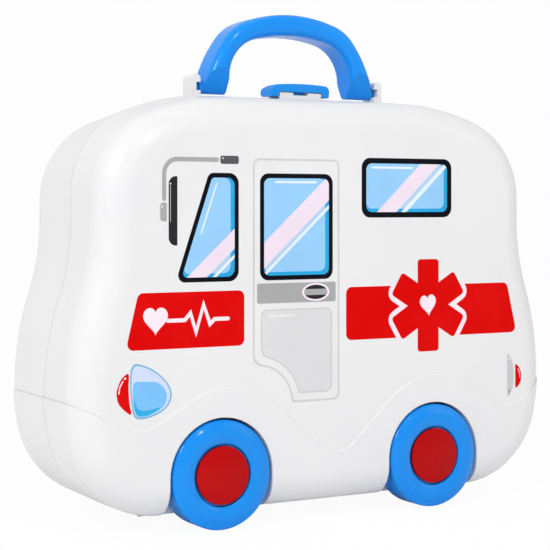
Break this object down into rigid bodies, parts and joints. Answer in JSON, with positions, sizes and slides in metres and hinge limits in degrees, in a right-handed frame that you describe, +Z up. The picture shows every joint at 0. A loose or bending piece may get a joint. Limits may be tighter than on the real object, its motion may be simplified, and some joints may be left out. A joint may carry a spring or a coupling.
{
  "type": "toy doctor case",
  "caption": "Toy doctor case shaped like an ambulance: two hinged half shells on rolling wheels, with a folding carrying handle, a flip latch and printed films.",
  "frame": {"origin": "on the ground, under the middle of the bounding box", "axes": "+X along the case towards the ambulance's tail, -Y out of the front face, +Z up"},
  "size_m": [0.2799, 0.1006, 0.2583],
  "materials": {
    "shell": "white moulded plastic, satin gloss",
    "handle": "bright blue moulded plastic, satin gloss",
    "latch": "bright blue moulded plastic, satin gloss",
    "wheel": "bright blue moulded plastic, satin gloss",
    "cap": "red moulded plastic, glossy",
    "steel": "plain steel",
    "film_window": "printed film, window blue with a black border",
    "film_white": "printed film, white with grey lines",
    "film_red": "printed film, red",
    "film_grey": "printed film, grey"
  },
  "bodies": {
    "tray": {"back_shell": "shell", "hinge_pins": "steel", "rear_washers": "steel", "rear_screws": "steel", "rear_cab_window": "film_window", "rear_side_window": "film_window", "rear_door_window": "film_window", "rear_door_print": "film_white", "rear_label_print": "film_red", "rear_sign_print": "film_red", "rear_mirror_print": "film_grey", "rear_headlight": "film_window", "rear_tail_light": "film_grey"},
    "lid": {"front_shell": "shell", "front_washers": "steel", "front_screws": "steel", "front_cab_window": "film_window", "front_side_window": "film_window", "front_door_window": "film_window", "front_door_print": "film_white", "front_label_print": "film_red", "front_sign_print": "film_red", "front_mirror_print": "film_grey", "front_headlight": "film_window", "front_tail_light": "film_grey"},
    "handle": {"handle": "handle"},
    "latch": {"latch": "latch", "latch_pin": "steel"},
    "front_left_wheel": {"front_left_wheel": "wheel", "front_left_cap": "cap"},
    "front_right_wheel": {"front_right_wheel": "wheel", "front_right_cap": "cap"},
    "rear_left_wheel": {"rear_left_wheel": "wheel", "rear_left_cap": "cap"},
    "rear_right_wheel": {"rear_right_wheel": "wheel", "rear_right_cap": "cap"}
  },
  "joints": [
    {"name": "lid_hinge", "type": "hinge", "parent": "tray", "child": "lid", "pos_m": [0, -0.01, 0.0051], "axis": [1, 0, 0], "range_deg": [0, 170]},
    {"name": "handle_pivot", "type": "hinge", "parent": "tray", "child": "handle", "pos_m": [0, 0, 0.21896], "axis": [1, 0, 0], "range_deg": [-62, 62]},
    {"name": "latch_pivot", "type": "hinge", "parent": "tray", "child": "latch", "pos_m": [0, -0.0074, 0.2168], "axis": [-1, 0, 0], "range_deg": [0, 110]},
    {"name": "front_left_axle", "type": "hinge", "parent": "lid", "child": "front_left_wheel", "pos_m": [-0.0625, -0.04, 0.0268], "axis": [0, 1, 0], "continuous": true},
    {"name": "front_right_axle", "type": "hinge", "parent": "lid", "child": "front_right_wheel", "pos_m": [0.0625, -0.04, 0.0268], "axis": [0, 1, 0], "continuous": true},
    {"name": "rear_left_axle", "type": "hinge", "parent": "tray", "child": "rear_left_wheel", "pos_m": [-0.0625, 0.04, 0.0268], "axis": [0, 1, 0], "continuous": true},
    {"name": "rear_right_axle", "type": "hinge", "parent": "tray", "child": "rear_right_wheel", "pos_m": [0.0625, 0.04, 0.0268], "axis": [0, 1, 0], "continuous": true}
  ]
}
